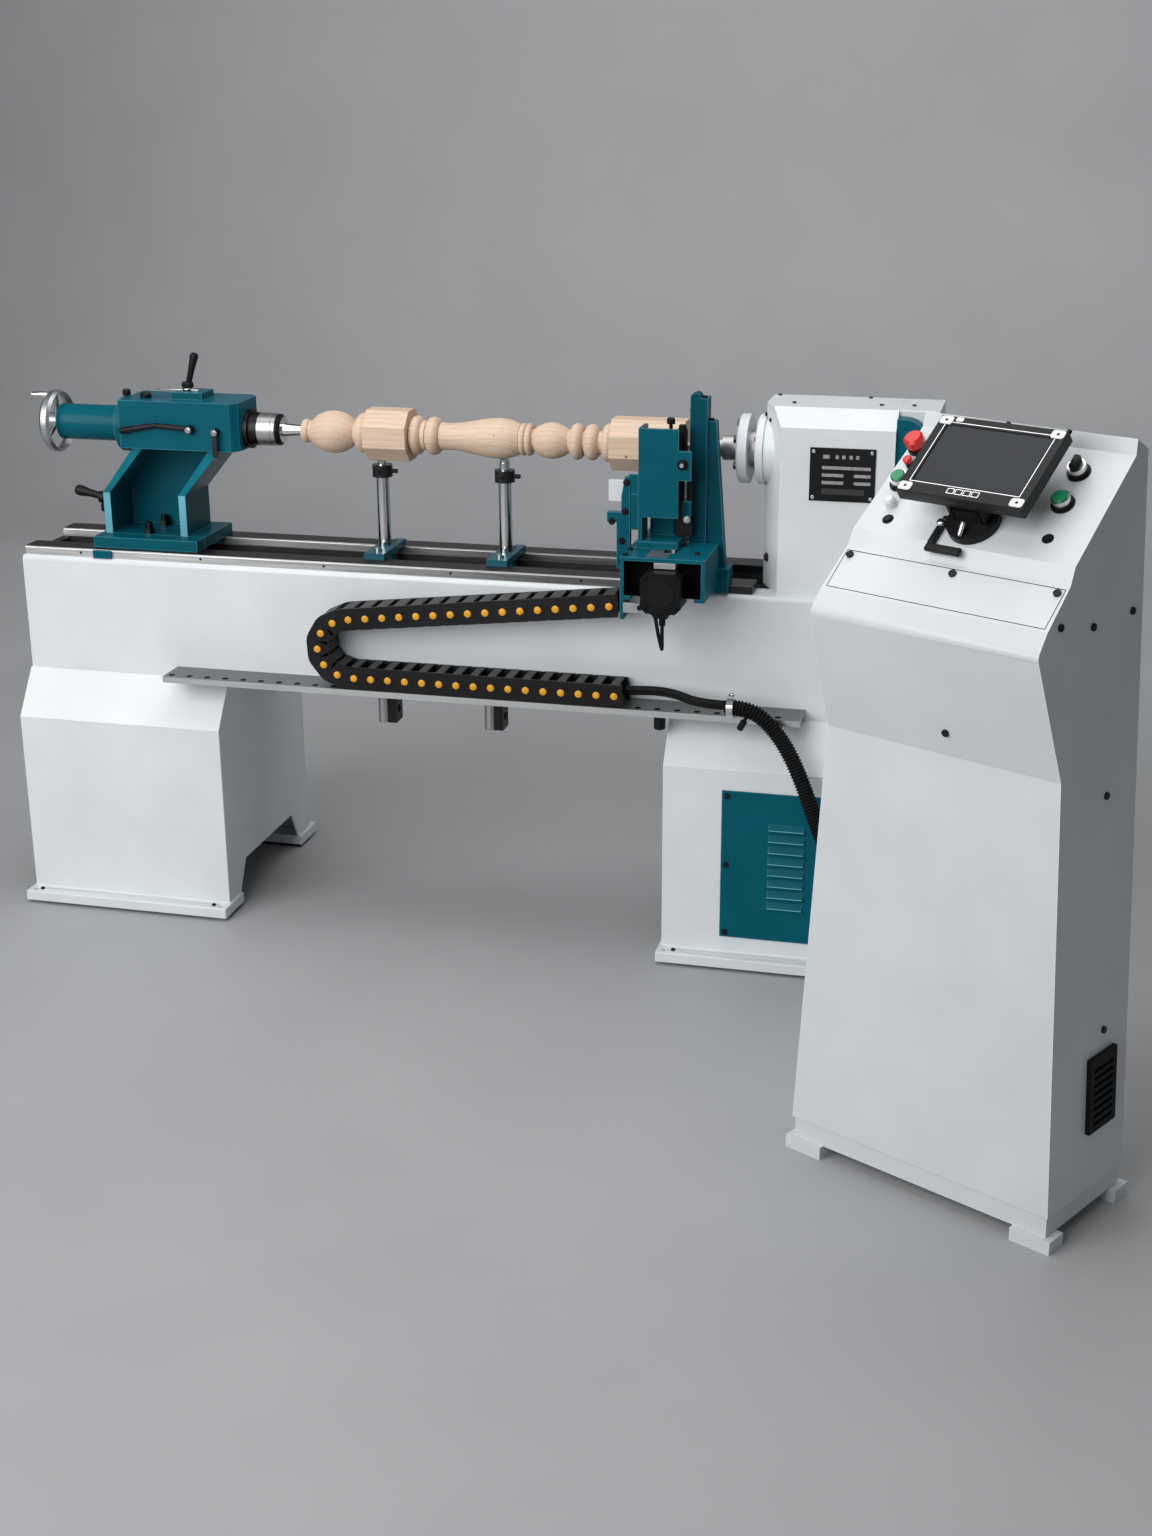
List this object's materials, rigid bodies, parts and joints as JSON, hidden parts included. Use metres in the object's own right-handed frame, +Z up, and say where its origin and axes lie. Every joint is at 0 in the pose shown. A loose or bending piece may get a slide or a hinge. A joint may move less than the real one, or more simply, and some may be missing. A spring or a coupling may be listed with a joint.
{
  "type": "cnc wood turning lathe",
  "caption": "Bed lathe for turned wood: headstock and tailstock hold the work between centres, a motor-fed carriage carries the tool, and a separate cabinet carries the controls.",
  "frame": {"origin": "floor point in the middle of the pedestals' anchor hole pattern", "axes": "+X along the bed from tailstock to headstock, +Y away from the operator, +Z up"},
  "size_m": [2.5836, 1.6309, 1.3757],
  "materials": {
    "white_paint": "satin",
    "teal_paint": "gloss",
    "zinc_steel": "satin",
    "ground_steel": "satin",
    "bright_chrome": "gloss",
    "black_metal": "satin",
    "black_plastic": "matte",
    "black_rubber": "matte",
    "green_plastic": "gloss",
    "red_plastic": "gloss",
    "beech": "satin"
  },
  "bodies": {
    "frame": {"left_pedestal": "white_paint", "right_pedestal": "white_paint", "floor_pads": "black_rubber", "bed": "white_paint", "bed_rails": "ground_steel", "louvre_panel": "teal_paint", "chain_tray": "zinc_steel", "headstock_housing": "white_paint", "bearing_flange": "white_paint", "belt_guard": "white_paint", "pulley_cover": "teal_paint", "spindle_bearings": "ground_steel", "main_motor": "black_metal", "drive_belt": "black_rubber", "chain_lower_run": "black_plastic", "chain_leads": "black_rubber", "hose": "black_rubber", "cabinet_shell": "white_paint", "keyboard_panel": "white_paint", "vent_grille": "black_plastic", "case_screws": "black_metal", "button_bezels": "zinc_steel"},
    "spindle_body": {"spindle": "ground_steel", "spindle_flange": "white_paint", "spindle_pulley": "ground_steel", "workpiece_baluster": "beech"},
    "tailstock": {"tailstock_stand": "teal_paint", "tailstock_head": "teal_paint", "tailstock_clamp": "zinc_steel"},
    "carriage": {"saddle": "teal_paint", "carriage_box": "teal_paint", "stepper_motor": "black_metal", "tool_column": "teal_paint", "motor_lead": "black_rubber", "chain_upper_run": "black_plastic"},
    "tool_slide": {"cross_slide": "teal_paint", "turning_tool": "zinc_steel", "guard_cover": "teal_paint"},
    "motor_pulley": {"motor_pulley": "ground_steel"},
    "quill": {"quill": "ground_steel"},
    "live_centre": {"live_centre": "black_metal"},
    "handwheel": {"handwheel": "bright_chrome"},
    "crank_handle": {"crank_handle": "black_plastic"},
    "quill_lock_lever": {"quill_lock_lever": "black_plastic"},
    "side_lever": {"side_lever": "black_metal"},
    "stop_lever": {"stop_lever": "black_metal"},
    "clamp_lever": {"clamp_lever": "black_plastic"},
    "left_support_stand": {"left_support_stand": "zinc_steel"},
    "left_support_rod": {"left_support_rod": "bright_chrome"},
    "right_support_stand": {"right_support_stand": "zinc_steel"},
    "right_support_rod": {"right_support_rod": "bright_chrome"},
    "cross_screw": {"cross_screw": "ground_steel"},
    "chain_bend_lower": {"chain_bend_lower": "black_plastic"},
    "chain_bend_upper": {"chain_bend_upper": "black_plastic"},
    "emergency_stop": {"emergency_stop": "red_plastic"},
    "green_button_left": {"green_button_left": "green_plastic"},
    "green_button_right": {"green_button_right": "green_plastic"},
    "selector_knob": {"selector_knob": "black_plastic"},
    "monitor_base": {"monitor_base": "black_plastic"},
    "monitor_case": {"monitor_case": "black_plastic"}
  },
  "joints": [
    {"name": "carriage_slide", "type": "slide", "parent": "frame", "child": "carriage", "axis": [1, 0, 0], "range_m": [-0.98, 0.03], "deforming": ["chain_lower_run", "chain_upper_run"]},
    {"name": "chain_bend_lower_slide", "type": "slide", "parent": "frame", "child": "chain_bend_lower", "axis": [1, 0, 0], "range_m": [-0.492, 0.017]},
    {"name": "chain_bend_upper_slide", "type": "slide", "parent": "carriage", "child": "chain_bend_upper", "axis": [1, 0, 0], "range_m": [-0.017, 0.492]},
    {"name": "cross_slide_feed", "type": "slide", "parent": "carriage", "child": "tool_slide", "axis": [0, 1, 0], "range_m": [-0.11, 0]},
    {"name": "cross_screw_turn", "type": "hinge", "parent": "carriage", "child": "cross_screw", "pos_m": [0.541, -0.142, 0.883], "axis": [0, 1, 0], "range_deg": [-1985, 5]},
    {"name": "spindle_spin", "type": "hinge", "parent": "frame", "child": "spindle_body", "pos_m": [0.705, -0.05, 1.13], "axis": [1, 0, 0], "continuous": true},
    {"name": "motor_pulley_spin", "type": "hinge", "parent": "frame", "child": "motor_pulley", "pos_m": [1.002, -0.05, 0.93], "axis": [1, 0, 0], "continuous": true},
    {"name": "tailstock_slide", "type": "slide", "parent": "frame", "child": "tailstock", "axis": [1, 0, 0], "range_m": [-0.15, 0]},
    {"name": "quill_feed", "type": "slide", "parent": "tailstock", "child": "quill", "axis": [1, 0, 0], "range_m": [-0.05, 0]},
    {"name": "live_centre_spin", "type": "hinge", "parent": "quill", "child": "live_centre", "pos_m": [-0.431, -0.05, 1.13], "axis": [1, 0, 0], "continuous": true},
    {"name": "handwheel_turn", "type": "hinge", "parent": "tailstock", "child": "handwheel", "pos_m": [-0.976, -0.05, 1.13], "axis": [1, 0, 0], "range_deg": [-3610, 10]},
    {"name": "crank_spin", "type": "hinge", "parent": "handwheel", "child": "crank_handle", "pos_m": [-0.976, -0.05, 1.19], "axis": [1, 0, 0], "continuous": true},
    {"name": "quill_lock_turn", "type": "hinge", "parent": "tailstock", "child": "quill_lock_lever", "pos_m": [-0.64, -0.05, 1.212], "axis": [0, 0, 1], "range_deg": [-60, 60]},
    {"name": "side_lever_turn", "type": "hinge", "parent": "tailstock", "child": "side_lever", "pos_m": [-0.608, -0.12, 1.136], "axis": [0, 1, 0], "range_deg": [-25, 60]},
    {"name": "stop_lever_swing", "type": "hinge", "parent": "tailstock", "child": "stop_lever", "pos_m": [-0.545, -0.12, 1.132], "axis": [0, 1, 0], "range_deg": [-40, 40]},
    {"name": "clamp_lever_turn", "type": "hinge", "parent": "tailstock", "child": "clamp_lever", "pos_m": [-0.845, -0.072, 0.958], "axis": [1, 0, 0], "range_deg": [-90, 90]},
    {"name": "left_support_slide", "type": "slide", "parent": "frame", "child": "left_support_stand", "axis": [1, 0, 0], "range_m": [-0.25, 0.08]},
    {"name": "right_support_slide", "type": "slide", "parent": "frame", "child": "right_support_stand", "axis": [1, 0, 0], "range_m": [-0.08, 0.2]},
    {"name": "left_rod_lift", "type": "slide", "parent": "left_support_stand", "child": "left_support_rod", "axis": [0, 0, 1], "range_m": [-0.05, 0]},
    {"name": "right_rod_lift", "type": "slide", "parent": "right_support_stand", "child": "right_support_rod", "axis": [0, 0, 1], "range_m": [-0.05, 0]},
    {"name": "monitor_swivel", "type": "hinge", "parent": "frame", "child": "monitor_base", "pos_m": [1.20945, -1.09932, 1.22021], "axis": [-0.2969, -0.5491, 0.7813], "range_deg": [-40, 40]},
    {"name": "monitor_tilt", "type": "hinge", "parent": "monitor_base", "child": "monitor_case", "pos_m": [1.20054, -1.11579, 1.24365], "axis": [0.8796, -0.4756, 0], "range_deg": [0, 30]},
    {"name": "emergency_stop_press", "type": "slide", "parent": "frame", "child": "emergency_stop", "axis": [-0.2969, -0.5491, 0.7813], "range_m": [-0.006, 0], "stiffness_N_per_m": 800, "springref_m": 0.002},
    {"name": "green_left_press", "type": "slide", "parent": "frame", "child": "green_button_left", "axis": [-0.2969, -0.5491, 0.7813], "range_m": [-0.004, 0], "stiffness_N_per_m": 800, "springref_m": 0.002},
    {"name": "green_right_press", "type": "slide", "parent": "frame", "child": "green_button_right", "axis": [-0.2969, -0.5491, 0.7813], "range_m": [-0.004, 0], "stiffness_N_per_m": 800, "springref_m": 0.002},
    {"name": "selector_turn", "type": "hinge", "parent": "frame", "child": "selector_knob", "pos_m": [1.36781, -1.06504, 1.30447], "axis": [-0.2969, -0.5491, 0.7813], "range_deg": [-45, 45]}
  ],
  "couplings": [
    {"joint": "chain_bend_lower_slide", "follows": "carriage_slide", "ratio": 0.5},
    {"joint": "chain_bend_upper_slide", "follows": "carriage_slide", "ratio": -0.5},
    {"joint": "cross_screw_turn", "follows": "cross_slide_feed", "rad_per_m": 314.16},
    {"joint": "motor_pulley_spin", "follows": "spindle_spin", "ratio": 1.3889},
    {"joint": "live_centre_spin", "follows": "spindle_spin", "ratio": 1},
    {"joint": "handwheel_turn", "follows": "quill_feed", "rad_per_m": 1256.6}
  ]
}
